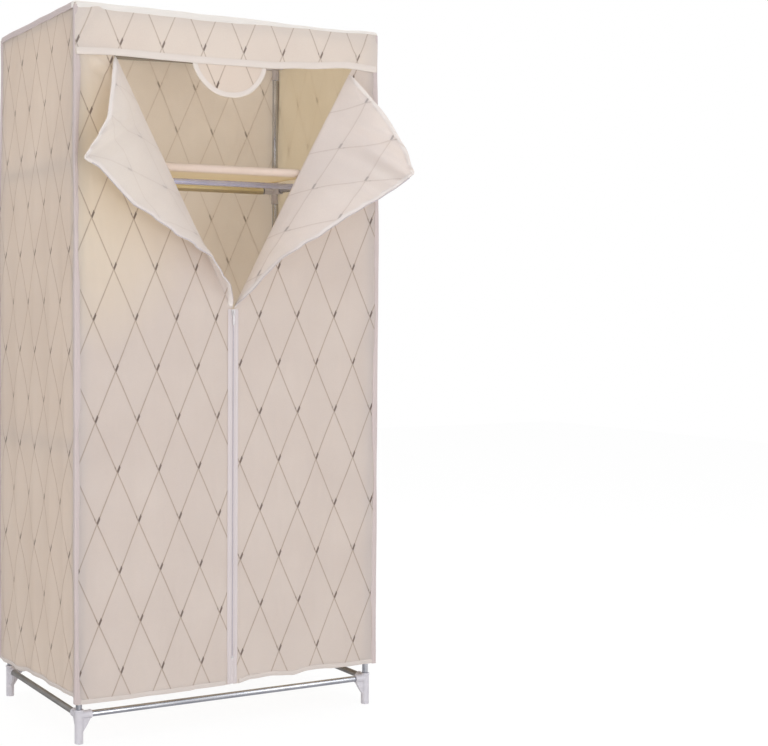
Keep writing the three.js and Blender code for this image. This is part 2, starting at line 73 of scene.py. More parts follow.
# Camera: it stands 3.5 m from the wardrobe's middle and 0.94 m above the floor, turned 27 degrees
# to the right, and the wardrobe fills the left of its picture.
yaw, pitch, roll = (math.radians(angle) for angle in (27.061, -2.299, 0.147))
ahead = Vector(
    (math.sin(yaw) * math.cos(pitch), math.cos(yaw) * math.cos(pitch), math.sin(pitch))
)
level = Vector((math.cos(yaw), -math.sin(yaw), 0))
rightward = level * math.cos(roll) + level.cross(ahead) * math.sin(roll)
aim = Matrix((rightward, rightward.cross(ahead), -ahead)).transposed()
bpy.ops.object.camera_add(location=(-1.5481, -3.0910, 0.9357), rotation=aim.to_euler())
camera = bpy.context.object
camera.data.sensor_width = 36
camera.data.lens = 68.36
camera.data.shift_x = 0.2266
bpy.context.scene.camera = camera

# Room: a plain pale floor under a white sky, with soft lamps in front, at both sides and above.
# The floor is white to the camera and keeps a part of the shadow.


def material(name):
    """A new material and its node tree, still empty."""
    made = bpy.data.materials.new(name)
    made.use_nodes = True
    made.node_tree.nodes.clear()
    return made, made.node_tree


def node(tree, kind, inputs=None, **settings):
    """A shader node with its settings. An input is a number, a colour or another node's output."""
    made = tree.nodes.new("ShaderNode" + kind)
    for name, value in settings.items():
        setattr(made, name, value)
    for place, value in (inputs or {}).items():
        if isinstance(value, bpy.types.NodeSocket):
            tree.links.new(value, made.inputs[place])
        else:
            made.inputs[place].default_value = value
    return made


def maths(tree, operation, *values):
    inputs = dict(enumerate(values))
    return node(tree, "Math", inputs, operation=operation).outputs[0]


def show(tree, shader):
    tree.links.new(shader.outputs[0], node(tree, "OutputMaterial").inputs[0])


sky = bpy.data.worlds.new("white_sky")
sky.use_nodes = True
bpy.context.scene.world = sky
tree = sky.node_tree
tree.nodes.clear()
ray = node(tree, "LightPath").outputs
mirrored = maths(tree, "MAXIMUM", ray["Is Camera Ray"], ray["Is Glossy Ray"])
not_scattered = maths(tree, "SUBTRACT", 1.0, ray["Is Diffuse Ray"])
clear = maths(tree, "MULTIPLY", ray["Is Transmission Ray"], not_scattered)
bright_sky = maths(tree, "MAXIMUM", mirrored, clear)
strength = maths(tree, "MULTIPLY_ADD", bright_sky, 0.32, 0.68)
air = node(tree, "Background", {"Color": (1, 1, 1, 1), "Strength": strength})
tree.links.new(air.outputs[0], node(tree, "OutputWorld").inputs[0])

bpy.ops.mesh.primitive_plane_add(size=14)
floor = bpy.context.object
floor.name = "floor"
paint, tree = material("white_floor")
shaded = node(tree, "BsdfDiffuse", {"Color": (0.9, 0.9, 0.9, 1)})
bright = node(tree, "Emission", {"Color": (1, 1, 1, 1), "Strength": 1.03})
share = maths(tree, "MULTIPLY", node(tree, "LightPath").outputs["Is Camera Ray"], 0.9)
show(tree, node(tree, "MixShader", {0: share, 1: shaded.outputs[0], 2: bright.outputs[0]}))
floor.data.materials.append(paint)
floor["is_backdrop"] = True

for name, place, size, power in (
    ("front_lamp", (-0.9, -4.6, 1.4), 3.4, 36),
    ("low_lamp", (-0.7, -4.2, 0.55), 1.3, 35),
    ("right_lamp", (3.0, -3.2, 1.6), 2.0, 28),
    ("left_lamp", (-4.4, -1.0, 2.2), 2.4, 46),
    ("top_lamp", (0.4, 0.6, 4.2), 2.2, 52),
):
    towards = Vector((0, 0, 0.85)) - Vector(place)
    turned = towards.to_track_quat("-Z", "Y").to_euler()
    bpy.ops.object.light_add(type="AREA", location=place, rotation=turned)
    lamp = bpy.context.object
    lamp.name = name
    lamp.data.size = size
    lamp.data.energy = power

# Cards round the wardrobe, black or grey, that only glossy surfaces mirror: they draw the dark
# lines along the edges of the bright tubes, and shade the bars of the bottom ring.
for name, place, turned, size, seen in (
    ("card_left", (-3.4, -0.9, 1.0), (0, 90, 20), (4.6, 1.4), 0.03),
    ("card_right", (3.1, -2.0, 1.0), (0, 90, 60), (4.6, 1.4), 0.03),
    ("card_above", (-0.3, -1.2, 3.6), (12, 0, -27), (4.6, 1.6), 0.03),
    ("card_below", (0.0, 0.05, 0.0015), (0, 0, 0), (0.96, 0.64), 0.5),
    ("card_beside", (-0.74, 0.5, 0.0015), (0, 0, 0), (0.5, 1.6), 0.26),
    ("card_behind", (-1.1, 2.5, 0.72), (90, 0, 0), (1.3, 1.3), 0.06),
    ("card_front", (-0.9, -2.3, 1.75), (90, 0, 0), (2.4, 0.9), 0.03),
):
    paint, tree = material(name)
    show(tree, node(tree, "Emission", {"Color": (0.98, 0.97, 1, 1), "Strength": seen}))
    bpy.ops.mesh.primitive_plane_add(
        size=1, location=place, rotation=[math.radians(angle) for angle in turned]
    )
    card = bpy.context.object
    card.name = name
    card.scale = (*size, 1)
    card.data.materials.append(paint)
    for kind in ("camera", "diffuse", "transmission", "volume_scatter", "shadow"):
        setattr(card, "visible_" + kind, False)
    card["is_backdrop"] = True

# Steel tubes: 12 uprights, 14 bars in the rings and braces, and the hanging rail, all 14 mm welded
# tube with a silver finish. Each is drawn to its CAD tube's length, with a wall and eased ends.
tube_radius, tube_wall = 0.007, 0.0008


def clouds(tree, scale, detail):
    """Cloudy noise through the piece's own space."""
    spot = node(tree, "TexCoord").outputs["Object"]
    return node(tree, "TexNoise", {"Vector": spot, "Scale": scale, "Detail": detail}).outputs[0]


def ranged(tree, value, *limits):
    """A value carried from one range to another: the limits that it has, then those it gets."""
    names = ("Value", "From Min", "From Max", "To Min", "To Max")
    return node(tree, "MapRange", dict(zip(names, (value, *limits)))).outputs[0]


def colour(red, green, blue):
    """A colour as it looks on a screen, from 0 to 255, as the light that Blender works with."""
    light = [((c / 255 + 0.055) / 1.055) ** 2.4 for c in (red, green, blue)]
    return (*light, 1)


def mix(tree, share, *colours, **settings):
    """The first colour at a share of 0, the second at 1. Each is an output or a screen colour."""
    inputs = {0: share}
    for place, value in zip((6, 7), colours):
        inputs[place] = colour(*value) if isinstance(value, tuple) else value
    return node(tree, "Mix", inputs, data_type="RGBA", **settings).outputs[2]


def bump(tree, strength, distance, height):
    inputs = {"Strength": strength, "Distance": distance, "Height": height}
    return node(tree, "Bump", inputs).outputs[0]


def plated(name, dark, light, metallic=1.0, matt=0.0):
    """Bright plated tube: cloudy silver, with a fine grain in its gloss."""
    made, tree = material(name)
    grain = clouds(tree, 900, 2)
    inputs = {
        "Base Color": mix(tree, ranged(tree, clouds(tree, 26, 3), 0.3, 0.7), dark, light),
        "Metallic": metallic,
        "Roughness": ranged(tree, grain, 0, 1, 0.17 + matt, 0.32 + matt),
        "Normal": bump(tree, 0.08, 0.0002, grain),
    }
    show(tree, node(tree, "BsdfPrincipled", inputs))
    return made


steel = plated("silver_steel", (184, 186, 194), (202, 204, 210))
# The rail: silver paint, half metal, tinted blue-lavender to paint the bluish reflection along it.
rail_steel = plated("rail_steel", (192, 198, 238), (210, 216, 250), 0.45)
# The side bars of the bottom ring take a darker, duller copy of the same steel: painted shade.
side_steel = plated("side_steel", (150, 147, 145), (164, 161, 159), 1.0, 0.36)
# Tubes whose steel has painted light or shade in its colour.
painted_light_steel = {
    "hanging_rail": rail_steel,
    "bottom_bar_left": side_steel,
    "bottom_bar_right": side_steel,
}


def pick(piece):
    """Selects this piece alone."""
    bpy.ops.object.select_all(action="DESELECT")
    piece.select_set(True)
    bpy.context.view_layer.objects.active = piece


def finish_with(piece, *modifiers):
    """Puts modifiers on a piece and applies them one after another."""
    pick(piece)
    for kind, settings in modifiers:
        added = piece.modifiers.new(kind.lower(), kind)
        for name, value in settings.items():
            setattr(added, name, value)
        bpy.ops.object.modifier_apply(modifier=added.name)


def settle(piece, angle=35):
    """Puts a piece's place into its mesh and shades it smooth, but for its sharp edges."""
    pick(piece)
    bpy.ops.object.transform_apply(location=True, rotation=True, scale=True)
    bpy.ops.object.shade_smooth_by_angle(angle=math.radians(angle))


def stand_in(piece, name, body):
    """Puts a piece in the place of a CAD node, on its body."""
    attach(piece, body)
    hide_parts(name)


def rod(start, end, radius, sides=48, ends="NGON"):
    """A cylinder from one point to another."""
    start, end = Vector(start), Vector(end)
    bpy.ops.mesh.primitive_cylinder_add(
        vertices=sides,
        radius=radius,
        depth=(end - start).length,
        end_fill_type=ends,
        location=(start + end) / 2,
        rotation=(end - start).to_track_quat("Z", "Y").to_euler(),
    )
    bpy.ops.object.transform_apply(location=True, rotation=True, scale=True)
    return bpy.context.object


tube_names = [
    name
    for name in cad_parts
    if name.startswith("upright") or "_bar_" in name or name == "hanging_rail"
]
for name in sorted(tube_names):
    low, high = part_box(name)
    middle = (low + high) / 2
    along = max(range(3), key=lambda axis: (high - low)[axis])
    start, end = middle.copy(), middle.copy()
    start[along], end[along] = low[along], high[along]
    tube = rod(start, end, tube_radius, ends="NOTHING")
    tube.name = "tube_" + name
    finish_with(
        tube,
        ("SOLIDIFY", {"thickness": tube_wall, "offset": -1}),
        ("BEVEL", {"width": 0.00025, "segments": 2, "limit_method": "ANGLE"}),
    )
    settle(tube)
    tube.data.materials.clear()
    tube.data.materials.append(painted_light_steel.get(name, steel))
    stand_in(tube, name, "frame")

# Moulded connectors: frosted plastic, one kind for each level. Each kind is joined from its arms,
# collars and webs, melted into one moulding with soft inner corners, and bored for the tubes.
half_width, half_depth, middle_depth = 0.370, 0.225, 0.063727
bottom_level, brace_level, shelf_level, top_level = 0.063, 0.648, 1.262, 1.587
sleeve_radius, bore_radius, socket_floor = 0.009, 0.0073, 0.009
right, back, up, down = (1, 0, 0), (0, 1, 0), (0, 0, 1), (0, 0, -1)

frosted, tree = material("frosted_plastic")
flow = clouds(tree, 45, 3)
milk = mix(tree, flow, (208, 205, 213), (223, 220, 226))
resin = {
    "Base Color": milk,
    "Roughness": ranged(tree, flow, 0, 1, 0.28, 0.46),
    "IOR": 1.49,
    "Transmission Weight": 0.22,
    "Normal": bump(tree, 0.12, 0.0002, clouds(tree, 1600, 2)),
}
show(tree, node(tree, "BsdfPrincipled", resin))


def placed(name, mesh):
    """A new piece with this mesh."""
    piece = bpy.data.objects.new(name, mesh)
    bpy.context.collection.objects.link(piece)
    return piece


def joined(parts):
    bpy.ops.object.select_all(action="DESELECT")
    for part in parts:
        part.select_set(True)
    bpy.context.view_layer.objects.active = parts[0]
    bpy.ops.object.join()
    return bpy.context.object


def melt(piece, softness):
    """Makes one moulding of joined parts, with soft inner corners."""
    finish_with(
        piece,
        ("REMESH", {"mode": "VOXEL", "voxel_size": 0.0007}),
        ("SMOOTH", {"factor": 0.5, "iterations": softness}),
        ("DECIMATE", {"ratio": 0.34}),
    )


def cut_away(piece, cutter):
    finish_with(piece, ("BOOLEAN", {"object": cutter, "operation": "DIFFERENCE"}))
    bpy.data.objects.remove(cutter)


def arms_of(length, *ways):
    return [(way, length, socket_floor) for way in ways]


def moulding(name, arms, more=()):
    """One moulding from arms, each a way out, its length and the depth that its bore starts at."""
    parts = list(more)
    bpy.ops.mesh.primitive_uv_sphere_add(segments=32, ring_count=16, radius=sleeve_radius)
    parts.append(bpy.context.object)
    for way, length, _ in arms:
        way = Vector(way)
        parts.append(rod((0, 0, 0), way * length, sleeve_radius))
        parts.append(rod(way * (length - 0.0045), way * length, sleeve_radius + 0.0008))
    body = joined(parts)
    melt(body, 7)
    bores = [
        rod(Vector(way) * floor_depth, Vector(way) * (length + 0.004), bore_radius, 40)
        for way, length, floor_depth in arms
    ]
    for bore in bores:
        cut_away(body, bore)
    body.name = name
    settle(body, 32)
    return body


def foot_web(way):
    """The plate under an arm of a foot: a flat outline with a hollow curve, given its thickness."""
    reach, lip, drop = 0.027, -0.009, -0.037
    outline = [(0, 0), (reach, 0), (reach, lip)]
    for step in range(1, 11):
        t = step / 10
        along = (1 - t) ** 2 * reach + 2 * t * (1 - t) * 0.0184 + t * t * 0.0095
        height = (1 - t) ** 2 * lip + 2 * t * (1 - t) * -0.0252 + t * t * drop
        outline.append((along, height))
    outline.append((0, drop))
    plate = bpy.data.meshes.new("web")
    corners = [Vector((way[0] * a, way[1] * a, z)) for a, z in outline]
    plate.from_pydata(corners, [], [list(range(len(corners)))])
    web = placed("web", plate)
    finish_with(web, ("SOLIDIFY", {"thickness": 0.007, "offset": 0}))
    return web


foot_socket, foot_bore = 0.012, -0.023
foot_leg = rod((0, 0, -bottom_level), (0, 0, foot_socket), 0.0095)
foot_rim = rod((0, 0, 0.0075), (0, 0, foot_socket), 0.0105)
kinds = {
    "top_corner": (top_level, moulding("top", arms_of(0.034, right, back, down))),
    "shelf_joint": (shelf_level, moulding("shelf", arms_of(0.034, right, back, up, down))),
    "brace_tee": (
        brace_level,
        moulding("tee", arms_of(0.030, back) + arms_of(0.028, up, down)),
    ),
    "foot": (
        bottom_level,
        moulding(
            "foot",
            arms_of(0.029, right, back) + [(up, foot_socket, foot_bore)],
            [foot_leg, foot_rim, foot_web(right), foot_web(back)],
        ),
    ),
}
corners = {
    "front_left": (-1, -1),
    "front_right": (1, -1),
    "back_left": (-1, 1),
    "back_right": (1, 1),
}
for kind, (height, master) in kinds.items():
    for corner, (x, y) in corners.items():
        mould = placed(f"moulded_{kind}_{corner}", master.data.copy())
        mould.data.transform(Matrix.Diagonal((-x, -y, 1, 1)))
        if x * y < 0:
            mould.data.flip_normals()
        place = (x * half_width, y * half_depth + middle_depth, height)
        mould.data.transform(Matrix.Translation(place))
        mould.data.materials.clear()
        mould.data.materials.append(frosted)
        stand_in(mould, f"{kind}_{corner}", "frame")
    bpy.data.objects.remove(master)

# Rail clips: a ring that snaps over each side bar of the shelf ring, with a socket on it that takes
# the end of the hanging rail. Same plastic, same moulding.
rail_level = shelf_level - 0.008
sides = ((-1, "left"), (1, "right"))
for side, name in sides:

    def clip_point(inward, level, back=0, side=side):
        return (side * (half_width - inward), middle_depth + back, level)

    def bar_rod(half_length, radius, clip_point=clip_point):
        ends = (clip_point(0, shelf_level, back) for back in (-half_length, half_length))
        return rod(*ends, radius)

    mouth = clip_point(0.034, rail_level)
    socket = rod(clip_point(0.007, rail_level), mouth, sleeve_radius)
    lip = rod(clip_point(0.0295, rail_level), mouth, 0.0098)
    clip = joined([bar_rod(0.012, sleeve_radius), socket, lip])
    melt(clip, 6)
    cut_away(clip, bar_rod(0.02, bore_radius))
    rail_bore = clip_point(socket_floor, rail_level), clip_point(0.04, rail_level)
    cut_away(clip, rod(*rail_bore, bore_radius))
    bpy.ops.mesh.primitive_cube_add(
        size=1,
        location=clip_point(-0.0065, shelf_level + 0.0065),
        rotation=(0, side * math.radians(-45), 0),
        scale=(0.016, 0.03, 0.008),
    )
    cut_away(clip, bpy.context.object)
    clip.name = "moulded_rail_clip_" + name
    settle(clip, 32)
    clip.data.materials.clear()
    clip.data.materials.append(frosted)
    stand_in(clip, "rail_clip_" + name, "frame")

# Shelf: one strong cream cloth, sewn into a sleeve round the front bar and another round the back
# bar. It sags a little between them, and its side edges curve in.


def ease(low, high, value):
    """0 at the low end, 1 at the high one, and a soft rise between them."""
    share = min(max((value - low) / (high - low), 0), 1)
    return share * share * (3 - 2 * share)


def ripple(*place):
    """Smooth noise, from about -1 to 1."""
    return noise.noise(Vector(place))


def lay_flat(mesh, flats):
    """Writes where each vertex lies on the flat cloth, as its UV map."""
    layer = (mesh.uv_layers.active or mesh.uv_layers.new(name="UVMap")).data
    for loop in mesh.loops:
        layer[loop.index].uv = flats[loop.vertex_index]


cloth_half = 0.0004


def cloth_sheet(name, columns, rows, place, print_at, faces, thickness=2 * cloth_half):
    """A grid of cloth. place gives the outer face, print_at the flat place of the same point."""
    bpy.ops.mesh.primitive_grid_add(x_subdivisions=columns, y_subdivisions=rows, size=1)
    cloth = bpy.context.object
    cloth.name = name
    mesh = cloth.data
    spots = [(vertex.co.x + 0.5, vertex.co.y + 0.5) for vertex in mesh.vertices]
    for vertex, (across, high) in zip(mesh.vertices, spots):
        vertex.co = place(across, high)
    lay_flat(mesh, [print_at(*spot) for spot in spots])
    for face in faces:
        mesh.materials.append(face)
    solid = {
        "thickness": thickness,
        "offset": -1,
        "material_offset": len(faces) - 1,
        "material_offset_rim": 0,
    }
    finish_with(cloth, ("SOLIDIFY", solid))
    settle(cloth, 60)
    return cloth


def dotted(tree, pitch):
    """Fine bumps at a pitch both ways over the flat cloth: its threads, or its bonding dots."""
    across, along, _ = node(tree, "SeparateXYZ", {0: node(tree, "UVMap").outputs[0]}).outputs
    waves = [
        maths(tree, "SINE", maths(tree, "MULTIPLY", way, 2 * math.pi / pitch))
        for way in (across, along)
    ]
    return maths(tree, "MULTIPLY", *waves)


def show_cloth(tree, cloth, lit, through, height, pressed, rough, sheen):
    """Matt cloth with raised threads. through is the share that light comes through, in lit."""
    threads = bump(tree, pressed, 0.0003, height)
    inputs = {"Base Color": cloth, "Roughness": rough, "Sheen Weight": sheen, "Normal": threads}
    face = node(tree, "BsdfPrincipled", inputs).outputs[0]
    glow = node(tree, "BsdfTranslucent", {"Color": lit, "Normal": threads}).outputs[0]
    show(tree, node(tree, "MixShader", {0: through, 1: face, 2: glow}))


def woven(name, light, dark, through, weave=0.0009):
    """Plain cloth or tape of one colour, with its threads, a soft sheen and light through it."""
    made, tree = material(name)
    cloud, fibre = clouds(tree, 14, 4), clouds(tree, 700, 2)
    tone = maths(tree, "MULTIPLY_ADD", fibre, 0.35, maths(tree, "MULTIPLY", cloud, 0.65))
    cloth = mix(tree, tone, dark, light)
    height = maths(tree, "MULTIPLY_ADD", dotted(tree, weave), 0.3, fibre)
    show_cloth(tree, cloth, cloth, through, height, 0.25, 0.86, 0.12)
    return made


shelf_cream = woven("shelf_cream", (252, 247, 234), (249, 241, 222), 0.88)
sleeve_outer = 0.0085
sleeve_turn = math.pi * 1.42
sleeve_wrap = sleeve_turn * sleeve_outer
shelf_reach = 0.332
shelf_width = 0.664
shelf_length = 2 * half_depth + 2 * sleeve_wrap


def shelf_profile(run):
    """The cloth seen from its side: round the back bar, forward over the panel, round the front."""
    at = run * shelf_length
    if sleeve_wrap <= at < sleeve_wrap + 2 * half_depth:
        y = half_depth - (at - sleeve_wrap)
        return y, sleeve_outer, 1 - (y / half_depth) ** 2
    bar = 1 if at < sleeve_wrap else -1
    around = sleeve_wrap - at if bar > 0 else at - sleeve_wrap - 2 * half_depth
    turned = around / sleeve_outer
    y = bar * (half_depth + math.sin(turned) * sleeve_outer)
    return y, math.cos(turned) * sleeve_outer, 0


def shelf_place(across, run):
    y, z, free = shelf_profile(run)
    share = across * 2 - 1
    x = share * (shelf_reach - 0.052 * free**0.62)
    crumple = ripple(x * 9, y * 14, 3.1) * 0.0016
    sag = free * (0.0022 + 0.0022 * (1 - share * share)) + free * crumple
    lift = 0.0022 * free * abs(share) ** 5
    return Vector((x, y + middle_depth, shelf_level + z - sag + lift))


shelf = cloth_sheet(
    "shelf_panel",
    90,
    130,
    shelf_place,
    lambda across, run: (across * shelf_width, run * shelf_length),
    [shelf_cream],
    0.0011,
)
stand_in(shelf, "shelf_cloth", "frame")


def strip(name, stations, profile, fabric, outside=1):
    """Tape: a profile carried along stations, each a point with its two ways."""
    width = [0]
    for a, b in zip(profile, profile[1:]):
        width.append(width[-1] + math.dist(a, b))
    length = [0]
    for a, b in zip(stations, stations[1:]):
        length.append(length[-1] + (b[0] - a[0]).length)
    points, faces, flats = [], [], []
    for along, (point, first, second) in zip(length, stations):
        for across, (a, b) in zip(width, profile):
            points.append(point + first * a + second * b)
            flats.append((across, along))
    columns = len(profile)
    for row in range(len(stations) - 1):
        for column in range(columns - 1):
            a = row * columns + column
            faces.append((a, a + 1, a + 1 + columns, a + columns)[:: 1 if outside > 0 else -1])
    mesh = bpy.data.meshes.new(name)
    mesh.from_pydata(points, [], faces)
    lay_flat(mesh, flats)
    mesh.materials.append(fabric)
    tape = placed(name, mesh)
    finish_with(tape, ("SOLIDIFY", {"thickness": 0.0005, "offset": 0}))
    settle(tape, 60)
    return tape


def hem_profile(reach, puff=0.0007):
    """A tape folded over an edge: in along one face, round the edge and back along the other."""
    half = cloth_half
    return [
        (reach, half + 0.0003),
        (reach * 0.8, half + puff),
        (reach * 0.4, half + puff * 1.25),
        (0.0012, half + puff),
        (-0.0006, half * 0.7),
        (-0.0006, -half * 0.7),
        (0.0012, -half - puff * 0.6),
        (reach * 0.5, -half - puff * 0.6),
        (reach, -half - 0.0003),
    ]


def spaced(stations, pitch, first):
    """Points a pitch apart along stations, each with the way onward and the stations' two ways."""
    travelled, want = 0, first
    for (a, in_a, out_a), (b, in_b, out_b) in zip(stations, stations[1:]):
        span = (b - a).length
        while want < travelled + span:
            t = (want - travelled) / span
            yield a.lerp(b, t), (b - a).normalized(), in_a.lerp(in_b, t), out_a.lerp(out_b, t)
            want += pitch
        travelled += span


def strands(name, rows, paint):
    """One piece of many short strands, each a row of rings of four points, with closed ends."""
    points, faces = [], []
    for rings in rows:
        first = len(points)
        for ring in rings:
            points += ring
        last = len(points) - 4
        for c in range(first, last):
            d = c + 1 if (c - first) % 4 < 3 else c - 3
            faces.append((c, d, d + 4, c + 4))
        faces.append((first + 3, first + 2, first + 1, first))
        faces.append((last, last + 1, last + 2, last + 3))
    mesh = bpy.data.meshes.new(name)
    mesh.from_pydata(points, [], faces)
    mesh.materials.append(paint)
    piece = placed(name, mesh)
    pick(piece)
    bpy.ops.object.mode_set(mode="EDIT")
    bpy.ops.mesh.select_all(action="SELECT")
    bpy.ops.mesh.normals_make_consistent(inside=False)
    bpy.ops.object.mode_set(mode="OBJECT")
    settle(piece, 60)
    return piece


thread = woven("thread_white", (240, 232, 226), (226, 216, 208), 0.1, 0.0005)
stitch_pitch = 0.0034
stitch_profile = [
    (-0.0013, 0.00010, -0.00025),
    (-0.0008, 0.00026, 0.00005),
    (0.0008, 0.00026, 0.00005),
    (0.0013, 0.00010, -0.00025),
]


def sew(name, stations, across, off):
    """A row of lock stitches along stations, at a place of their two ways."""
    rows = []
    for point, onward, into, out in spaced(stations, stitch_pitch, stitch_pitch):
        middle = point + into * across + out * off
        beside, outward = into.normalized(), out.normalized()
        rows.append([])
        for along, girth, rise in stitch_profile:
            core = middle + onward * along + outward * rise
            leans = [math.radians(angle) for angle in (45, 135, 225, 315)]
            ways = [beside * math.cos(a) + outward * math.sin(a) for a in leans]
            rows[-1].append([core + way * girth for way in ways])
    row = strands(name, rows, thread)
    lay_flat(row.data, [(vertex.co.x, vertex.co.z) for vertex in row.data.vertices])
    return row


def belong(pieces, body):
    """Gives pieces their body."""
    for piece in pieces:
        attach(piece, body)


# The sleeves are the shelf's own cream cloth in two painted tones for the light each gets: the back
# one painted brighter and yellower for the warm light under the shelf, the front one bluer.
sleeves = {
    "front": woven("sleeve_white", (240, 229, 243), (230, 218, 232), 0.25),
    "back": woven("sleeve_cream", (255, 250, 222), (252, 243, 210), 0.4),
}
sleeve_face = 0.0089
around = []
for step in range(29):
    angle = math.radians(-108 + step * 278 / 28)
    around.append((math.sin(angle) * sleeve_face, math.cos(angle) * sleeve_face))
shelf_tapes = []
for facing, name in ((-1, "front"), (1, "back")):
    line = []
    for step in range(61):
        x = (step / 60 * 2 - 1) * (shelf_reach - 0.0005)
        point = Vector((x, facing * half_depth + middle_depth, shelf_level))
        swell = 1 + 0.03 * ripple(x * 20, facing, 0.7)
        line.append((point, Vector((0, facing * swell, 0)), Vector((0, 0, swell))))
    sleeve = strip("shelf_sleeve_" + name, line, around, sleeves[name], facing)
    shelf_tapes += [sleeve, sew("shelf_stitches_" + name, line, -0.0062, 0.0094)]
panel_start = sleeve_wrap / shelf_length
for side, name in ((0, "left"), (1, "right")):
    stations = []
    for step in range(61):
        run = panel_start + (1 - 2 * panel_start) * step / 60
        point = shelf_place(side, run)
        inward = (shelf_place(abs(side - 0.03), run) - point).normalized()
        onward = (shelf_place(side, run + 0.004) - shelf_place(side, run - 0.004)).normalized()
        upward = inward.cross(onward).normalized()
        upward = upward if upward.z > 0 else -upward
        stations.append((point - upward * 0.0005, inward, upward))
    shelf_tapes.append(strip("shelf_edge_" + name, stations, hem_profile(0.009), shelf_cream))
belong(shelf_tapes, "frame")

# Cover: thin bonded cloth, cream, with a common lattice of fine diamonds printed on its outer face
# and showing faintly through. The side, back and front panels hang from the roof's seam.
front_face, back_face, side_face = -0.1743, 0.3017, 0.383
cover_width, cover_depth, wall_top = 0.766, 0.476, 1.5965
lattice_across, lattice_up = 0.101, 0.2215
diamond_side = math.hypot(lattice_across / 2, lattice_up / 2)
line_gap = 1 / math.hypot(1 / lattice_across, 1 / lattice_up)


def printed(name, light, dark, inks, through, warm=(255, 253, 246), painted_pool=None):
    """Bonded cloth with the printed lattice. inks is how strongly the print shows, warm the tint of
    the light through it; the last argument places a painted pool of pale warm light, as if come
    through a flap: its middle in x and z and its two reaches."""
    made, tree = material(name)

    def calc(operation, *values):
        return maths(tree, operation, *values)

    def band(value, inner, outer):
        """1 up to the inner limit, 0 from the outer one on."""
        return ranged(tree, value, inner, outer, 1, 0)

    cloud, fibre, patchy = clouds(tree, 7, 4), clouds(tree, 420, 4), clouds(tree, 60, 2)
    tone = calc("MULTIPLY_ADD", fibre, 0.4, calc("MULTIPLY", cloud, 0.6))
    ground = mix(tree, ranged(tree, tone, 0.3, 0.7), dark, light)
    # A pale warm patch of painted light in the cloth's colour, where light through a flap would
    # fall.
    if painted_pool:
        spot = node(tree, "TexCoord").outputs["Object"]
        x, _, z = node(tree, "SeparateXYZ", {0: spot}).outputs
        aside = calc("MULTIPLY", calc("ADD", x, -painted_pool[0]), 1 / painted_pool[2])
        above = calc("MULTIPLY", calc("ADD", z, -painted_pool[1]), 1 / painted_pool[3])
        away = calc("ADD", calc("POWER", aside, 2), calc("POWER", above, 2))
        pool_share = ranged(tree, calc("MULTIPLY_ADD", cloud, 0.6, away), 0.1, 1.8, 0.72, 0)
        ground = mix(tree, pool_share, ground, (254, 247, 231))

    across, along, _ = node(tree, "SeparateXYZ", {0: node(tree, "UVMap").outputs[0]}).outputs
    columns = calc("MULTIPLY", across, 1 / lattice_across)
    rows = calc("MULTIPLY", along, 1 / lattice_up)
    rising, falling = calc("SUBTRACT", columns, rows), calc("ADD", columns, rows)
    off_rising = calc("MULTIPLY", calc("PINGPONG", rising, 0.5), line_gap)
    off_falling = calc("MULTIPLY", calc("PINGPONG", falling, 0.5), line_gap)
    up_rising = calc("MULTIPLY", calc("FRACT", falling), diamond_side)
    up_falling = calc("MULTIPLY", calc("FRACT", calc("SUBTRACT", 0.0, rising)), diamond_side)

    near = calc("MAXIMUM", band(up_rising, 0.0, 0.035), band(up_falling, 0.0, 0.03))
    lines = calc("MAXIMUM", *(band(off, 0.0006, 0.0021) for off in (off_rising, off_falling)))
    worn = calc("MULTIPLY_ADD", near, 0.25, calc("MULTIPLY_ADD", patchy, 0.5, 0.42))
    weight = calc("MULTIPLY", calc("MULTIPLY", lines, worn), inks)
    ink = mix(tree, near, (190, 173, 158), (164, 144, 130))
    lined = mix(tree, weight, ground, ink)

    def about(value, middle, inner, outer):
        return band(calc("ABSOLUTE", calc("SUBTRACT", value, middle)), inner, outer)

    long_dash = about(up_rising, 0.0086, 0.0068, 0.0078)
    dash = calc("MULTIPLY", band(off_rising, 0.0020, 0.0028), long_dash)
    split = calc("MULTIPLY", band(off_rising, 0.0002, 0.0006), band(up_rising, 0.0162, 0.0105))
    dash = calc("SUBTRACT", dash, calc("MULTIPLY", split, 0.35))
    short_tick = about(up_falling, 0.012, 0.0018, 0.0028)
    tick = calc("MULTIPLY", calc("MULTIPLY", band(off_falling, 0.0012, 0.0018), short_tick), 0.45)
    marks = calc("MULTIPLY", calc("MAXIMUM", dash, tick), inks)
    marked = mix(tree, marks, lined, (92, 72, 63))

    lit = mix(tree, 1.0, marked, warm, blend_type="MULTIPLY")
    height = calc("MULTIPLY_ADD", dotted(tree, 0.0016), 0.35, fibre)
    show_cloth(tree, marked, lit, through, height, 0.22, 0.84, 0.08)
    return made


outer_print = printed("cover_print", (245, 239, 237), (240, 233, 230), 0.48, 0.68)
inner_print = printed("cover_inside", (239, 233, 227), (233, 225, 217), 0.27, 0.68)
inner_plain = printed("cover_inside_plain", (241, 233, 217), (235, 226, 207), 0.05, 0.68)

seam_sway = {
    "front_left": ((0.0012, 4.1), (0.0010, 1.7), 0.0, 0.0),
    "front_right": ((0.0016, 2.3), (0.0010, 5.2), 0.0065, 0.0),
    "back_left": ((0.0015, 7.7), (0.0020, 3.4), -0.002, 0.017),
    "back_right": ((0.0015, 9.2), (0.0020, 6.6), 0.004, 0.010),
}
seam_base = {
    corner: (x * side_face, back_face if y > 0 else front_face)
    for corner, (x, y) in corners.items()
}


def seam(corner, z):
    """Where an upright seam of the cover is at a height: it bellies out below the taut top."""
    (x_wave, x_seed), (y_wave, y_seed), x_belly, y_belly = seam_sway[corner]
    x, y = seam_base[corner]
    slack = 1 - ease(1.05, 1.56, z)
    free = 1 - ease(1.5, 1.59, z)
    x += x_belly * slack + free * x_wave * ripple(x_seed, 0, z * 6)
    y += y_belly * slack + free * y_wave * ripple(0, y_seed, z * 6)
    return Vector((x, y, z))


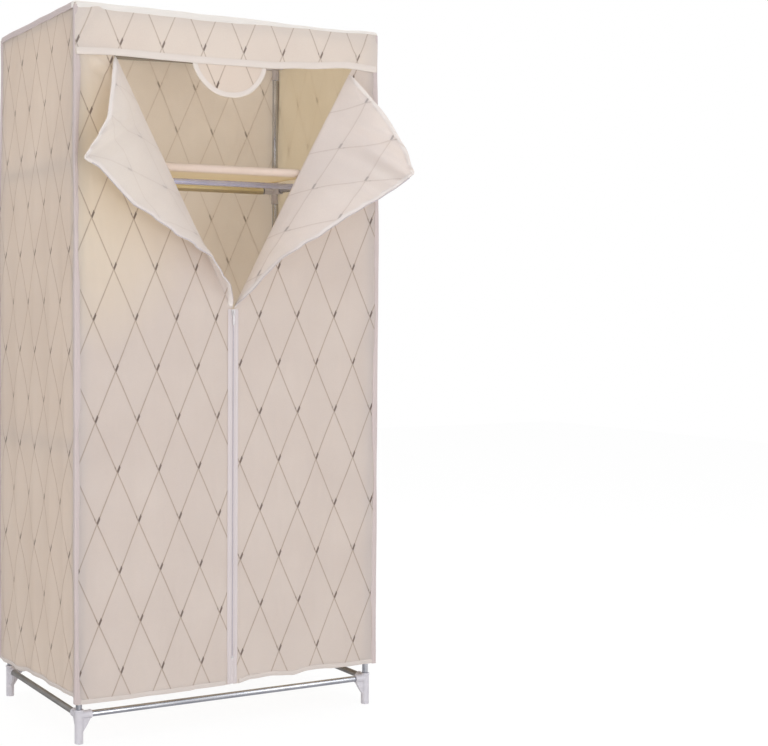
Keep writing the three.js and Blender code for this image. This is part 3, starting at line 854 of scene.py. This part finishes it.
def folds(across, z, waves, seed):
    """How far the hanging cloth stands out: folds that deepen downwards, and small wrinkles."""
    slack = 0.3 + 0.7 * (1 - ease(0.5, 1.56, z))
    drift = 0.02 * ripple(seed, across * 2, z * 2.2)
    out = sum(
        depth * math.exp(-(((across + drift - centre) / width) ** 2))
        for centre, width, depth in waves
    )
    small = 0.0011 * ripple(across * 9, z * 5, seed)
    small += 0.0005 * ripple(across * 26, z * 15, seed + 7)
    edge = ease(0, 0.035, across) * ease(0, 0.035, 1 - across)
    return (out * slack + small) * edge


def read_off(profile, place):
    """The value of a profile at a place, from its (place, value) pairs."""
    for (a, low), (b, high) in zip(profile, profile[1:]):
        if place <= b:
            return low + (high - low) * ease(a, b, place)
    return profile[-1][1]


# Each wall of the cover: its two seams, the way it faces, its folds (place, width, depth), its hem
# (place, height), its grid, its print (width, shift, height) and the seed of its wrinkles.
side_print = 1.0489 * cover_depth
panels = {
    "back": (
        ("back_right", "back_left"),
        Vector((0, 1, 0)),
        [(0.14, 0.05, 0.004), (0.36, 0.07, 0.005), (0.6, 0.06, 0.004), (0.83, 0.06, 0.005)],
        [(0, 0.1), (0.2, 0.094), (0.45, 0.101), (0.7, 0.095), (1, 0.1)],
        (150, 210),
        (0.7628, 0.191, 1.402),
        3.3,
    ),
    "left_side": (
        ("back_left", "front_left"),
        Vector((-1, 0, 0)),
        [(0.09, 0.045, 0.005), (0.28, 0.06, 0.0045), (0.5, 0.055, 0.005)]
        + [(0.7, 0.06, 0.004), (0.86, 0.03, 0.002), (0.945, 0.02, -0.003)],
        [(0, 0.089), (0.1, 0.089), (0.3, 0.091), (0.4, 0.098), (0.46, 0.101), (1, 0.103)],
        (100, 220),
        (side_print, -0.1591, 1.4001),
        5.9,
    ),
    "right_side": (
        ("front_right", "back_right"),
        Vector((1, 0, 0)),
        [(0.05, 0.02, -0.002), (0.2, 0.05, 0.005), (0.45, 0.06, 0.004)]
        + [(0.68, 0.05, 0.005), (0.9, 0.05, 0.004)],
        [(0, 0.1), (0.25, 0.095), (0.5, 0.102), (0.75, 0.094), (1, 0.1)],
        (100, 220),
        (side_print, 0.02, 1.36),
        8.4,
    ),
}
walls = {}
for name, ((first, last), facing, waves, hem, grid, (span, shift, rise), seed) in panels.items():

    def wall_height(across, high, hem=hem):
        low = read_off(hem, across)
        return low + (wall_top - low) * high

    def wall(
        across, high, ends=(first, last), facing=facing, waves=waves, seed=seed, at=wall_height
    ):
        z = at(across, high)
        there = seam(ends[0], z).lerp(seam(ends[1], z), across)
        return there + facing * folds(across, z, waves, seed)

    def wall_print(across, high, span=span, shift=shift, rise=rise, at=wall_height):
        return span * (across - 0.5) + shift, at(across, high) - rise

    inner = inner_plain if name == "right_side" else inner_print
    panel = cloth_sheet(name + "_panel", *grid, wall, wall_print, [outer_print, inner])
    stand_in(panel, "cover_" + name, "cover")
    walls[name] = panel, wall, facing

# Roof: the same cloth, resting on the top ring. It dips a little between the bars and its edge is
# gathered into a soft rolled seam.


def roof_place(across, deep):
    aside, behind = across * 2 - 1, deep * 2 - 1
    x = aside * side_face
    inside = (1 - aside**6) * (1 - behind**6)
    dip = -0.0035 * (1 - aside**2) * (1 - behind * behind)
    creases = 0.0011 * ripple(x * 11, behind * 4, 1.2) * inside
    z = 1.5985 + 0.0012 * inside + dip + creases
    return Vector((x, middle_depth + behind * cover_depth / 2, z))


roof_print = printed("roof_print", (247, 242, 238), (242, 236, 231), 0.48, 0.8)
roof = cloth_sheet(
    "roof_panel",
    120,
    76,
    roof_place,
    lambda across, deep: (across * cover_width, deep * cover_depth),
    [roof_print, inner_print],
)
stand_in(roof, "cover_roof", "cover")

# Valance: a band of the cover cloth across the top of the front, lined, so that it looks lighter
# than the doors. A round tab hangs from it and hides the top of the closed zip.
valance_print = printed("valance_print", (235, 227, 221), (228, 218, 212), 0.66, 0.4)
tab_print = printed("tab_print", (233, 222, 214), (226, 214, 205), 0.8, 0.4)
tab_half, tab_drop, tab_middle, tab_top = 0.0925, 0.0705, -0.010, 1.4935
valance_face = front_face - 0.0016
valance_hem = [(-0.383, 1.4895), (-0.29, 1.4935), (-0.1, 1.493), (0.087, 1.495), (0.184, 1.502)]
valance_hem += [(0.3, 1.5115), (0.383, 1.508)]


def valance_place(across, high):
    x = (across * 2 - 1) * side_face
    low = read_off(valance_hem, x)
    z = low + (wall_top - low) * high
    there = seam("front_left", z).lerp(seam("front_right", z), across)
    wave = 0.0020 * ripple(x * 8, z * 5, 2.8)
    pull = (z - 1.5935) / 0.1 - (x + 0.372) / 0.075
    wave += 0.0048 * math.exp(-((pull + 0.55) ** 2) / 0.02) * ease(-0.27, -0.33, x)
    wave += 0.0036 * math.exp(-((pull - 0.1) ** 2) / 0.012) * ease(-0.29, -0.34, x)
    aslant = (1.592 - z) - 0.9 * (0.374 - x)
    wave += 0.0042 * math.exp(-((aslant / 0.011) ** 2)) * ease(0.27, 0.33, x)
    wave += 0.0007 * ripple(x * 25, z * 18, 6.1)
    wave *= ease(1.598, 1.584, z)
    edge = ease(0, 0.03, across) * ease(0, 0.03, 1 - across)
    there.y = front_face - (0.0006 + 0.0012 * ease(0, 0.3, 1 - high)) - edge * (wave + 0.0012)
    return there


def valance_flat(across, high):
    x = (across * 2 - 1) * side_face
    return x + 0.3805, valance_place(across, high).z - 1.5224 - 0.0246 * x


def tab_place(across, high):
    share = math.sin((across - 0.5) * math.pi)
    x = tab_middle + share * tab_half
    low = tab_top - tab_drop * (1 - abs(share) ** 2.2) ** (1 / 1.47)
    z = low + (tab_top + 0.008 - low) * high
    curl = 0.003 * ease(tab_top, tab_top - tab_drop, z)
    wave = 0.0008 * ripple(x * 14, z * 12, 9.9)
    return Vector((x, valance_face + 0.0006 - curl + wave, z))


def tab_flat(across, high):
    spot = tab_place(across, high)
    return spot.x + 0.0455, spot.z - 1.4405


valance = cloth_sheet(
    "valance_panel", 150, 28, valance_place, valance_flat, [valance_print, inner_print]
)
tab = cloth_sheet("valance_tab", 60, 24, tab_place, tab_flat, [tab_print, inner_print])
belong([valance, tab], "cover")
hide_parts("cover_valance")

# Doors: the front of the cover is cut down the middle, and above the point of the opening each
# door ends on a slanting fold, where its corner turns outwards.
opening_point, door_top = 0.9477, 1.517
fold_end = {-1: Vector((-0.292, 0, 0.547)), 1: Vector((0.306, 0, 0.5523))}
corner_width, corner_height = 0.290, 0.542
# The left door's painted pool of warm light, as if come through the left flap: middle in x and z,
# reaches.
painted_warm_light = (-0.34, 1.24, 0.22, 0.32)
door_print = printed("door_print", (240, 235, 236), (234, 228, 229), 0.66, 0.64, painted_pool=painted_warm_light)
door_hem = [(-0.383, 0.089), (-0.25, 0.089), (-0.2, 0.090), (-0.11, 0.090), (-0.09, 0.092)]
door_hem += [(0.011, 0.092), (0.053, 0.099), (0.1, 0.101), (0.137, 0.098), (0.16, 0.096)]
door_hem += [(0.202, 0.103), (0.224, 0.103), (0.246, 0.102), (0.268, 0.100), (0.383, 0.100)]
door_waves = {
    -1: [(0.18, 0.09, 0.0025), (0.45, 0.1, 0.003), (0.72, 0.09, 0.0025)],
    1: [(0.2, 0.1, 0.0025), (0.5, 0.09, 0.003), (0.8, 0.08, 0.003)],
}
door_phase = {
    -1: ((1.0223, 0.0191, 0.0783), (-0.0008, 1.0010, -1.0336)),
    1: ((1.0033, 0.0086, -0.2258), (-0.0016, 1.0022, -1.0418)),
}


def on_door_print(side, spot):
    """The place on the flat print of a point of a door, from its x and z."""
    return [a * spot.x + b * spot.z + shift for a, b, shift in door_phase[side]]


def door_place(side, across, high):
    """across runs from the zip outwards, high from the hem to the valance."""
    bend = 0.61
    if high < bend:
        z = opening_point * high / bend
    else:
        z = opening_point + (door_top - opening_point) * (high - bend) / (1 - bend)
    t = max(0, z - opening_point) / fold_end[side].z
    bow = abs(fold_end[side].x) - corner_width
    inner = max(0.0038, corner_width * t + bow * t * t + 0.0012)
    edge = seam("front_left" if side < 0 else "front_right", z)
    x = side * inner + (edge.x - side * inner) * across
    if high < bend:
        low = read_off(door_hem, x)
        z = low + (opening_point - low) * high / bend
    out = folds(across, z, door_waves[side], 11.3 + side)
    if side < 0:
        slope = z + 0.35 * (x + 0.324)
        out += 0.030 * math.exp(-(((x + 0.324) / 0.014) ** 2) - ((slope - 1.473) / 0.009) ** 2)
        out -= 0.016 * math.exp(-(((x + 0.324) / 0.018) ** 2) - ((slope - 1.455) / 0.010) ** 2)
        pulled = (x + 0.3) / 0.035 + (z - 1.49) / 0.12
        out += 0.0060 * math.exp(-((pulled + 0.4) ** 2) / 0.05) * ease(1.30, 1.44, z)
    else:
        pulled = (x - 0.33) / 0.02 + (z - 1.49) / 0.05
        out += 0.0085 * math.exp(-(pulled**2) / 0.1) * ease(1.42, 1.47, z)
    narrow = (side_face - inner) / side_face
    return Vector((x, front_face + (edge.y - front_face) * across - out * narrow, z))


doors = {}
for side, name in sides:

    def door(across, high, side=side):
        return door_place(side, 1 - across if side < 0 else across, high)

    def door_flat(across, high, side=side, door=door):
        return on_door_print(side, door(across, high))

    doors[side] = cloth_sheet(
        name + "_door_panel", 76, 220, door, door_flat, [door_print, inner_print]
    )
    stand_in(doors[side], f"cover_{name}_door", "cover")

# Flaps: the doors' corners above the zip, turned outwards over their fold and hanging off the
# front in a soft curl. Their lining side shows, with the print coming faintly through.
linings = {
    side: printed(name, light, dark, inks, 0.55, (255, 248, 230))
    for side, name, light, dark, inks in (
        (-1, "left_flap_lining", (238, 236, 239), (230, 227, 231), 0.12),
        (1, "right_flap_lining", (244, 240, 241), (236, 231, 233), 0.24),
    )
}
fold_length, fold_roll = 0.6147, 0.0025
flap_height = {-1: 0.2586, 1: 0.2548}
corner_share = {-1: 0.754, 1: 0.7905}
off_door = Vector((0, -1, 0))
point_of_opening = Vector((0, front_face, opening_point))
fold_way = {side: Vector((side * 0.47177, 0, 0.881722)) for side in (-1, 1)}
over_door = {side: Vector((side * 0.881722, 0, -0.47177)) for side in (-1, 1)}
flap_lift = {
    -1: [(0, 133), (0.08, 100), (0.15, 77), (0.22, 70), (0.3, 55), (0.38, 43), (0.46, 37)]
    + [(0.54, 31), (0.7, 32), (0.755, 29), (0.777, 32), (0.8, 36), (0.84, 41), (0.92, 41)]
    + [(0.96, 38), (1, 20)],
    1: [(0, 44), (0.08, 60), (0.15, 70), (0.22, 70), (0.3, 59), (0.38, 48), (0.46, 44), (0.54, 37)]
    + [(0.62, 28), (0.7, 21), (0.777, 12), (0.8, 14), (0.84, 24), (0.92, 42), (1, 63)],
}


def fold_point(side, s):
    """A point of the fold, which runs up to where the flap goes under the valance."""
    straight = fold_way[side] * (s * fold_length)
    extra = fold_end[side] - fold_way[side] * fold_length
    return point_of_opening + straight + extra * (s * s)


def flap_reach(side, s):
    """How wide the flap is there: a triangle with a blunt corner."""
    rising, falling = s / corner_share[side], (1 - s) / (1 - corner_share[side])
    blunt = 0.014
    least = -blunt * math.log(math.exp(-rising / blunt) + math.exp(-falling / blunt))
    return flap_height[side] * max(least, 0.004)


def flap_place(side, s, share):
    """s runs up the fold from the point of the opening, share from the fold to the free edge."""
    lift, curl = read_off(flap_lift[side], s), 13
    first, last = math.radians(lift + curl), math.radians(lift - curl)
    length = flap_reach(side, s)
    run, rolled = share * length, fold_roll * (math.pi - first)
    turned = min(run / fold_roll, math.pi - first)
    out = fold_roll * (1 - math.sin(turned))
    off = fold_roll * (1 - math.cos(turned))
    if run > rolled:
        radius = max(length - rolled, 0.0005) / (first - last)
        angle = first - (run - rolled) / radius
        out += radius * (math.sin(first) - math.sin(angle))
        off += radius * (math.cos(angle) - math.cos(first))
    body = ease(0, 0.03, run) * min(1, length / 0.08)
    off += body * 0.0026 * ripple(s * 5, share * 2.4, side * 3.7)
    off += body * 0.0010 * ripple(s * 14, share * 7, side * 5.1)
    return fold_point(side, s) + over_door[side] * out + off_door * off


def up_fold(side, along):
    """How far up its fold the flap is at a place of its grid, which runs from left to right."""
    return 0.006 + 0.988 * (1 - along if side < 0 else along)


def turn_with_flap(pieces, side, name):
    """Puts each piece's place into its mesh."""
    for piece in pieces:
        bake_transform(piece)


flaps = {}
for side, name in sides:

    def flap(along, share, side=side):
        return flap_place(side, up_fold(side, along), share)

    def flap_flat(along, share, side=side):
        s = up_fold(side, along)
        unfolded = over_door[side] * (share * flap_reach(side, s))
        return on_door_print(side, fold_point(side, s) - unfolded)

    flaps[side] = cloth_sheet(
        name + "_flap_panel", 120, 70, flap, flap_flat, [door_print, linings[side]]
    )
    turn_with_flap([flaps[side]], side, name)
    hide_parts(f"cover_{name}_flap")

# Bindings: white tape folded over every free edge of the cover, puffed a little by its stitches:
# hems, valance, tab, flaps, and wider strips over the upright corners and round the roof.


def binding(name, light, dark, through=0.3):
    """White tape, a little coarser than the rest."""
    return woven(name + "_white", light, dark, through, 0.0011)


tape_white = binding("binding", (238, 230, 224), (230, 220, 213))
hem_tape = binding("hem_binding", (229, 221, 216), (221, 211, 205))
flap_tape = binding("flap_binding", (239, 232, 228), (231, 223, 219), 0.25)
roof_tape = binding("roof_binding", (244, 240, 236), (234, 229, 225))
# A greyer copy of the white binding: painted shade, used on the corner strips and on the roof seam
# away from the front.
painted_shade_tape = binding("corner", (219, 207, 206), (209, 195, 193))


def lower_edge(place, start, end, count, rise, outward):
    """Stations along a sheet's lower edge, with the ways into the sheet and out of its face."""
    stations = []
    for step in range(count + 1):
        across = start + (end - start) * (step / count)
        point = place(across, 0)
        into = (place(across, rise) - point).normalized()
        stations.append((point - outward * cloth_half, into, outward))
    return stations


def bind(name, kind, line, fabric, outside, reach=0.0095, puff=0.0007, off=0.00145):
    """A tape folded over an edge, and its row of stitches at a height off the cloth."""
    tape = strip(name + kind, line, hem_profile(reach, puff), fabric, outside)
    return [tape, sew(name + "_stitches", line, reach * 0.8, off)]


wall_tapes = {}
for name, (_, wall, facing) in walls.items():
    line = lower_edge(wall, 0.01, 0.99, 110, 0.02, facing)
    wall_tapes[name] = bind(name + "_hem", "", line, hem_tape, -1)
    belong(wall_tapes[name], "cover")

door_tapes = {}
for side, name in sides:

    def door_from_zip(across, high, side=side):
        return door_place(side, across, high)

    line = lower_edge(door_from_zip, 0.035, 0.99, 70, 0.02, off_door)
    door_tapes[side] = bind(name + "_door", "_hem", line, hem_tape, side)
    belong(door_tapes[side], "cover")

line = lower_edge(valance_place, 0.004, 0.996, 150, 0.1, off_door)
valance_tapes = bind("valance", "_binding", line, tape_white, -1, 0.0145, 0.0011, 0.00185)
# A dark strip behind the left part of the valance's lower edge: painted shadow, standing for the
# shade under the binding.
facing_shade = woven("facing_shade", (150, 137, 120), (132, 119, 103), 0.2)
line = []
for step in range(41):
    x = -0.2915 + 0.195 * step / 40
    half = 0.0026 + 0.0026 * (1 - ease(-0.292, -0.1, x))
    middle = Vector((x, front_face + 0.0024, read_off(valance_hem, x) + 0.003 - half))
    line.append((middle, Vector((0, 0, half)), Vector((0, 1, 0))))
valance_tapes.append(strip("valance_facing", line, [(-1, 0), (0, 0), (1, 0)], facing_shade))
line = []
for step in range(91):
    across = step / 90
    before, after = tab_place(max(across - 0.01, 0), 0), tab_place(min(across + 0.01, 1), 0)
    into = Vector((before.z - after.z, 0, after.x - before.x)).normalized()
    line.append((tab_place(across, 0) + Vector((0, cloth_half, 0)), into, off_door))
tab_tapes = bind("tab", "_binding", line, tape_white, -1, 0.0105)
belong(valance_tapes + tab_tapes, "cover")


def flap_edge(side, s, before, after, off):
    """A station on a flap's free edge, with the ways into the flap and off its face."""
    edge = flap_place(side, s, 1)
    near_edge = flap_place(side, s, 1 - min(0.012 / flap_reach(side, s), 0.9))
    onward = (flap_place(side, after, 1) - flap_place(side, before, 1)).normalized()
    into = near_edge - edge
    into = (into - onward * into.dot(onward)).normalized()
    out = onward.cross(into).normalized() * side
    return edge + out * off, into, out


flap_tapes = {}
for side, name in sides:
    line = []
    for step in range(141):
        s = 0.012 + 0.976 * step / 140
        line.append(flap_edge(side, s, max(s - 0.01, 0.006), min(s + 0.01, 0.994), -cloth_half))
    flap_tapes[side] = bind(
        name + "_flap", "_binding", line, flap_tape, side, puff=0.0010, off=0.0018
    )
    turn_with_flap(flap_tapes[side], side, name)

corner_profile = [(0.0120, -0.0004), (0.0100, -0.0013), (0.0055, -0.0017), (0.0008, -0.0019)]
corner_profile += [(-0.0013, -0.0013)] + [(b, a) for a, b in reversed(corner_profile)]
corner_tapes = []
for corner, (x, y) in corners.items():
    seed = len(corner) - 3 * x
    foot = 0.0985 if corner == "front_right" else 0.0905
    line = []
    for step in range(161):
        z = foot + (1.594 - foot) * step / 160
        wide = 0.82 + 0.5 * ripple(z * 6.5, seed, 0.3)
        wide += 0.25 * ripple(z * 21, seed, 1.9)
        deep = 0.82 + 0.5 * ripple(z * 5.5, seed, 7.3)
        line.append((seam(corner, z), Vector((-x * wide, 0, 0)), Vector((0, -y * deep, 0))))
    # The corner strips are drawn in the greyer tape: painted shade.
    corner_tapes.append(strip("corner_" + corner, line, corner_profile, painted_shade_tape, -x * y))
belong(corner_tapes, "cover")

turn_radius, roof_seam_level = 0.012, 1.5972
turns = {"front_left": 180, "front_right": 270, "back_right": 0, "back_left": 90}
bends = []
for corner, start in turns.items():
    middle = Vector((*seam_base[corner], 0)) - Vector((*corners[corner], 0)) * turn_radius
    for step in range(7):
        angle = math.radians(start + step * 15)
        way = Vector((math.cos(angle), math.sin(angle), 0))
        bends.append((middle + way * turn_radius, way))
line = []
for (a, way_a), (b, way_b) in zip(bends, bends[1:] + bends[:1]):
    steps = max(1, round((b - a).length / 0.008))
    for step in range(steps):
        point = a.lerp(b, step / steps)
        outward = way_a.lerp(way_b, step / steps).normalized()
        swell = 1 + 0.16 * ripple(point.x * 24, point.y * 24, 5.4)
        puff = 0.0014 * ripple(point.x * 16, point.y * 16, 0.4)
        puff += 0.0030 * ease(0.28, 0.34, point.x) * (1 - ease(-0.1, 0.05, point.y))
        in_front = 1 - ease(front_face, front_face + 0.02, point.y)
        low = 1 - 0.55 * ease(0.0, 0.2, point.x) * in_front
        height = Vector((0, 0, roof_seam_level + puff))
        line.append((point + height, outward * swell, Vector((0, 0, low))))
line.append(line[0])
roof_profile = [(-0.0095, 0.0022), (-0.0075, 0.0038), (-0.0035, 0.0052), (0.0002, 0.0046)]
roof_profile += [(0.0022, 0.0022), (0.0028, -0.0012), (0.0030, -0.0045)]
roof_profile += [(0.0028, -0.0075), (0.0016, -0.0095)]
roof_seam = strip("roof_seam", line, roof_profile, roof_tape)
# The seam behind the front edge takes the greyer tape: painted shade on the sides and back.
roof_seam.data.materials.append(painted_shade_tape)
for face in roof_seam.data.polygons:
    if face.center.y > front_face + 0.012:
        face.material_index = 1
belong([roof_seam], "cover")

wall_tapes["back"] += corner_tapes[2:]
for name, (panel, _, _) in walls.items():
    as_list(wall_tapes[name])

# Zip: a woven tape with half a nylon coil on each door, up to the point of the opening, and on
# along each flap's free edge. The slider parks at the point, above a crimped stop near the hem.
zip_tape = woven("zip_tape", (223, 215, 216), (214, 204, 205), 0.25, 0.0007)
coil_pitch, loop_height, strand_radius = 0.0015, 0.0010, 0.00042
stop_top = 0.1563


def coated(name, dark, light, grain, smooth, dull, metallic=0.0):
    """Nylon or lacquered metal: two close tones, and a gloss that changes with them."""
    made, tree = material(name)
    cloud = clouds(tree, *grain)
    inputs = {
        "Base Color": mix(tree, cloud, dark, light),
        "Roughness": ranged(tree, cloud, 0, 1, smooth, dull),
        "Metallic": metallic,
    }
    show(tree, node(tree, "BsdfPrincipled", inputs))
    return made


nylon = coated("nylon_coil", (186, 178, 184), (202, 195, 201), (120, 2), 0.3, 0.5)


def coil(name, stations, reach):
    """Half a zip chain: one flattened loop of nylon for each pitch along the stations."""
    rows = []
    for middle, onward, into, out in spaced(stations, coil_pitch, 0):
        into, out = into.normalized(), out.normalized()
        rows.append([])
        for angle in range(-90, 91, 30):
            aside, off = math.cos(math.radians(angle)), math.sin(math.radians(angle))
            core = middle - into * (aside * reach) + out * (off * loop_height)
            across = (out * off - into * aside).normalized() * strand_radius
            along = onward * strand_radius
            rows[-1].append([core + along, core + across, core - along, core - across])
    return strands(name, rows, nylon)


for side, name in sides:
    into = Vector((side, 0, 0))
    line = []
    for step in range(101):
        z = 0.0935 + (opening_point - 0.0935) * step / 100
        inner = 0.0002 + 0.0010 * ease(0.150, 0.158, z)
        line.append((Vector((side * inner, front_face - 0.0006, z)), into, off_door))
    tape_profile = [(0.0000, 0.0006), (0.0008, 0.0012), (0.0024, 0.0012), (0.0032, 0.0004)]
    tape_profile += [(0.0095, 0.0005), (0.0108, 0.0010), (0.0121, 0.0004)]
    tape = strip(f"zip_{name}_tape", line, tape_profile, zip_tape, side)
    line = [
        (Vector((side * 0.0012, front_face - 0.0016, z)), into, off_door)
        for z in (stop_top + (coil_pitch / 2 if side > 0 else 0), 0.9470)
    ]
    chain = coil(f"zip_{name}_coil", line, 0.0022)
    belong([tape, chain], "cover")
    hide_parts(f"zip_{name}_half")
    line = []
    for step in range(111):
        s = 0.02 + (corner_share[side] - 0.045) * step / 110
        line.append(flap_edge(side, s, s, s + 0.01, 0.0012))
    flap_chain = coil(f"zip_{name}_flap_coil", line, 0.0016)
    turn_with_flap([flap_chain], side, name)

white_metal = coated("white_metal", (188, 184, 185), (204, 200, 201), (300, 3), 0.25, 0.42, 0.2)
for name in ("zip_slider", "zip_pull", "zip_bottom_stop"):
    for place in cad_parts[name].material_slots:
        place.material = white_metal

plain = [[list(map(float, corner)) for corner in box] for box in (cad_box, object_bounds())]
